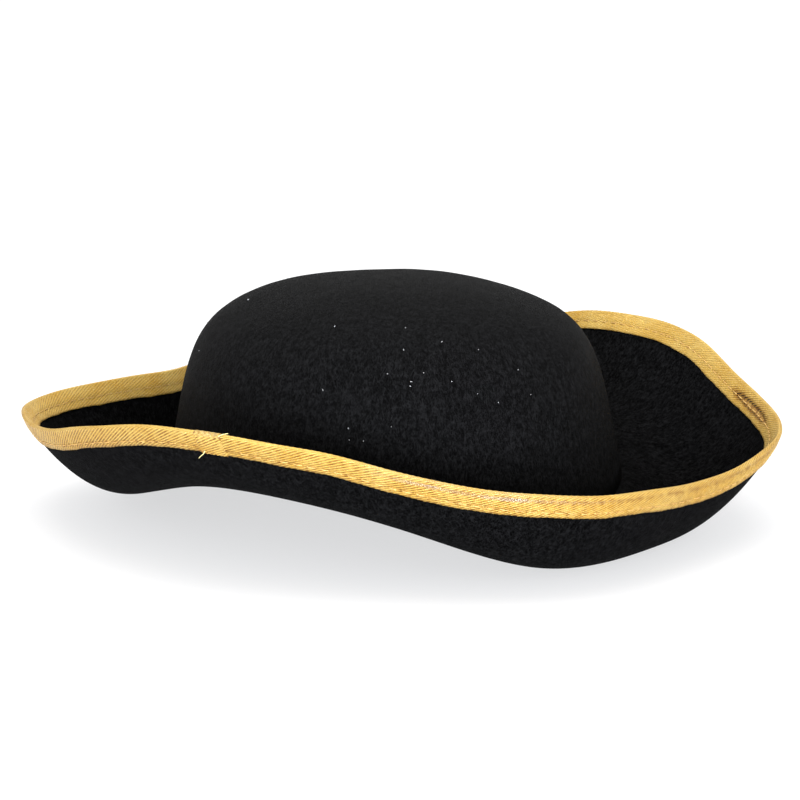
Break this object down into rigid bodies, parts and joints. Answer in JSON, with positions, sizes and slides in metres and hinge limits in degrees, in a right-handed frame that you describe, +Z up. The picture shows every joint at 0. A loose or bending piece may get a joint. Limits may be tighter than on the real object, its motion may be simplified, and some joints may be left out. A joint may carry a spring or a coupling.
{
  "type": "pirate hat",
  "caption": "Black felt tricorn pirate hat: oval domed crown, brim turned up at both sides and the back, gold braid binding folded over the rim, inner sweatband and a blank care label.",
  "frame": {"origin": "On the table, under the middle of the hat's footprint.", "axes": "+Z up; the front corner of the brim points to -Y; the wearer's left is +X."},
  "size_m": [0.3109, 0.3009, 0.0994],
  "materials": {
    "felt": "matte, short loose fibres",
    "gold_braid": "metallic ribbed braid",
    "gold_thread": "metallic lustre thread",
    "black_tape": "matte grosgrain",
    "black_thread": "matte thread",
    "white_satin": "satin"
  },
  "bodies": {
    "hat": {"crown_felt": "felt", "brim_felt": "felt", "brim_binding": "gold_braid", "binding_lap_end": "gold_braid", "binding_stitches_inner_face": "gold_thread", "binding_stitches_outer_face": "gold_thread", "sweatband": "black_tape", "sweatband_stitches": "black_thread", "care_label_header": "white_satin", "care_label_stitches": "black_thread"},
    "label": {"care_label_leaf": "white_satin"}
  },
  "joints": [
    {"name": "label_swing", "type": "hinge", "parent": "hat", "child": "label", "pos_m": [0, 0.10148, 0.037], "axis": [-1, 0, 0], "range_deg": [0, 90]}
  ]
}
